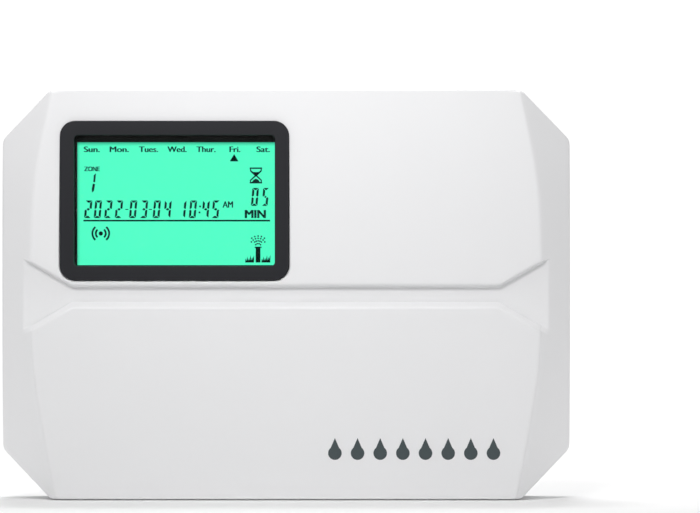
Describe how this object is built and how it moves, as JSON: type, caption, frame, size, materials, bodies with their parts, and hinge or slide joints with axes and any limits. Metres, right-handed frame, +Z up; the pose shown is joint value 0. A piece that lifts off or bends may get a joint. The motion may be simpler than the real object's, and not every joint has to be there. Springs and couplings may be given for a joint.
{
  "type": "irrigation controller",
  "caption": "Wall-mounted irrigation timer: eight-sided white case, framed backlit display, flared groove and a drop-down lower door over keys and wire terminals.",
  "frame": {"origin": "middle of the flat rear face, on the wall plane", "axes": "+Z up, +Y out of the rear face into the wall, so the front faces -Y; +X to the right as seen from the front"},
  "size_m": [0.2, 0.0504, 0.144],
  "materials": {
    "white_shell": "satin moulded white ABS",
    "white_door": "satin moulded white ABS",
    "grey_rear": "satin moulded white ABS",
    "dark_frame": "satin charcoal",
    "clear_window": "clear acrylic",
    "lcd_green": "backlit green LCD with dark segments",
    "light_panel": "milky light guide",
    "inner_white": "matt moulded",
    "key_grey": "soft matt",
    "board_green": "solder mask",
    "terminal_green": "moulded",
    "tab_orange": "moulded",
    "black_part": "moulded",
    "copper_flex": "polyimide film",
    "rubber_black": "matt",
    "steel": "zinc plated",
    "nickel": "nickel plated"
  },
  "bodies": {
    "housing": {"board_screw_1": "steel", "board_screw_2": "steel", "board_screw_3": "steel", "board_screw_4": "steel", "buzzer": "black_part", "cable_grommet": "rubber_black", "capacitor_1": "black_part", "capacitor_2": "black_part", "coin_cell": "nickel", "coin_cell_holder": "black_part", "control_deck": "inner_white", "display_bezel": "dark_frame", "display_window": "clear_window", "front_shell": "white_shell", "fuse": "nickel", "fuse_holder": "black_part", "hinge_pin_left": "steel", "hinge_pin_right": "steel", "housing_screw_1": "steel", "housing_screw_2": "steel", "housing_screw_3": "steel", "housing_screw_4": "steel", "inductor": "black_part", "key_switch_1": "black_part", "key_switch_2": "black_part", "key_switch_3": "black_part", "key_switch_4": "black_part", "key_switch_5": "black_part", "key_switch_6": "black_part", "lcd_backlight": "light_panel", "lcd_carrier": "inner_white", "lcd_glass": "lcd_green", "lcd_ribbon": "copper_flex", "main_board": "board_green", "power_terminal_block": "terminal_green", "rear_housing": "grey_rear", "wifi_module": "board_green", "zone_terminal_block": "terminal_green"},
    "door": {"lower_door": "white_door"},
    "key_1_body": {"key_1": "key_grey"},
    "key_2_body": {"key_2": "key_grey"},
    "key_3_body": {"key_3": "key_grey"},
    "key_4_body": {"key_4": "key_grey"},
    "key_5_body": {"key_5": "key_grey"},
    "key_6_body": {"key_6": "key_grey"},
    "tab_01_body": {"terminal_tab_01": "tab_orange"},
    "tab_02_body": {"terminal_tab_02": "tab_orange"},
    "tab_03_body": {"terminal_tab_03": "tab_orange"},
    "tab_04_body": {"terminal_tab_04": "tab_orange"},
    "tab_05_body": {"terminal_tab_05": "tab_orange"},
    "tab_06_body": {"terminal_tab_06": "tab_orange"},
    "tab_07_body": {"terminal_tab_07": "tab_orange"},
    "tab_08_body": {"terminal_tab_08": "tab_orange"},
    "tab_09_body": {"terminal_tab_09": "tab_orange"},
    "tab_10_body": {"terminal_tab_10": "tab_orange"},
    "tab_11_body": {"terminal_tab_11": "tab_orange"},
    "tab_12_body": {"terminal_tab_12": "tab_orange"},
    "tab_13_body": {"terminal_tab_13": "tab_orange"},
    "tab_14_body": {"terminal_tab_14": "tab_orange"}
  },
  "joints": [
    {"name": "door_hinge", "type": "hinge", "parent": "housing", "child": "door", "pos_m": [0, -0.0459, -0.069], "axis": [1, 0, 0], "range_deg": [0, 90]},
    {"name": "key_1_press", "type": "slide", "parent": "housing", "child": "key_1_body", "axis": [0, 1, 0], "range_m": [0, 0.0006], "stiffness_N_per_m": 1500},
    {"name": "key_2_press", "type": "slide", "parent": "housing", "child": "key_2_body", "axis": [0, 1, 0], "range_m": [0, 0.0006], "stiffness_N_per_m": 1500},
    {"name": "key_3_press", "type": "slide", "parent": "housing", "child": "key_3_body", "axis": [0, 1, 0], "range_m": [0, 0.0006], "stiffness_N_per_m": 1500},
    {"name": "key_4_press", "type": "slide", "parent": "housing", "child": "key_4_body", "axis": [0, 1, 0], "range_m": [0, 0.0006], "stiffness_N_per_m": 1500},
    {"name": "key_5_press", "type": "slide", "parent": "housing", "child": "key_5_body", "axis": [0, 1, 0], "range_m": [0, 0.0006], "stiffness_N_per_m": 1500},
    {"name": "key_6_press", "type": "slide", "parent": "housing", "child": "key_6_body", "axis": [0, 1, 0], "range_m": [0, 0.0006], "stiffness_N_per_m": 1500},
    {"name": "terminal_tab_01_press", "type": "slide", "parent": "housing", "child": "tab_01_body", "axis": [0, 1, 0], "range_m": [0, 0.0018], "stiffness_N_per_m": 3000},
    {"name": "terminal_tab_02_press", "type": "slide", "parent": "housing", "child": "tab_02_body", "axis": [0, 1, 0], "range_m": [0, 0.0018], "stiffness_N_per_m": 3000},
    {"name": "terminal_tab_03_press", "type": "slide", "parent": "housing", "child": "tab_03_body", "axis": [0, 1, 0], "range_m": [0, 0.0018], "stiffness_N_per_m": 3000},
    {"name": "terminal_tab_04_press", "type": "slide", "parent": "housing", "child": "tab_04_body", "axis": [0, 1, 0], "range_m": [0, 0.0018], "stiffness_N_per_m": 3000},
    {"name": "terminal_tab_05_press", "type": "slide", "parent": "housing", "child": "tab_05_body", "axis": [0, 1, 0], "range_m": [0, 0.0018], "stiffness_N_per_m": 3000},
    {"name": "terminal_tab_06_press", "type": "slide", "parent": "housing", "child": "tab_06_body", "axis": [0, 1, 0], "range_m": [0, 0.0018], "stiffness_N_per_m": 3000},
    {"name": "terminal_tab_07_press", "type": "slide", "parent": "housing", "child": "tab_07_body", "axis": [0, 1, 0], "range_m": [0, 0.0018], "stiffness_N_per_m": 3000},
    {"name": "terminal_tab_08_press", "type": "slide", "parent": "housing", "child": "tab_08_body", "axis": [0, 1, 0], "range_m": [0, 0.0018], "stiffness_N_per_m": 3000},
    {"name": "terminal_tab_09_press", "type": "slide", "parent": "housing", "child": "tab_09_body", "axis": [0, 1, 0], "range_m": [0, 0.0018], "stiffness_N_per_m": 3000},
    {"name": "terminal_tab_10_press", "type": "slide", "parent": "housing", "child": "tab_10_body", "axis": [0, 1, 0], "range_m": [0, 0.0018], "stiffness_N_per_m": 3000},
    {"name": "terminal_tab_11_press", "type": "slide", "parent": "housing", "child": "tab_11_body", "axis": [0, 1, 0], "range_m": [0, 0.0018], "stiffness_N_per_m": 3000},
    {"name": "terminal_tab_12_press", "type": "slide", "parent": "housing", "child": "tab_12_body", "axis": [0, 1, 0], "range_m": [0, 0.0018], "stiffness_N_per_m": 3000},
    {"name": "terminal_tab_13_press", "type": "slide", "parent": "housing", "child": "tab_13_body", "axis": [0, 1, 0], "range_m": [0, 0.0018], "stiffness_N_per_m": 3000},
    {"name": "terminal_tab_14_press", "type": "slide", "parent": "housing", "child": "tab_14_body", "axis": [0, 1, 0], "range_m": [0, 0.0018], "stiffness_N_per_m": 3000}
  ]
}
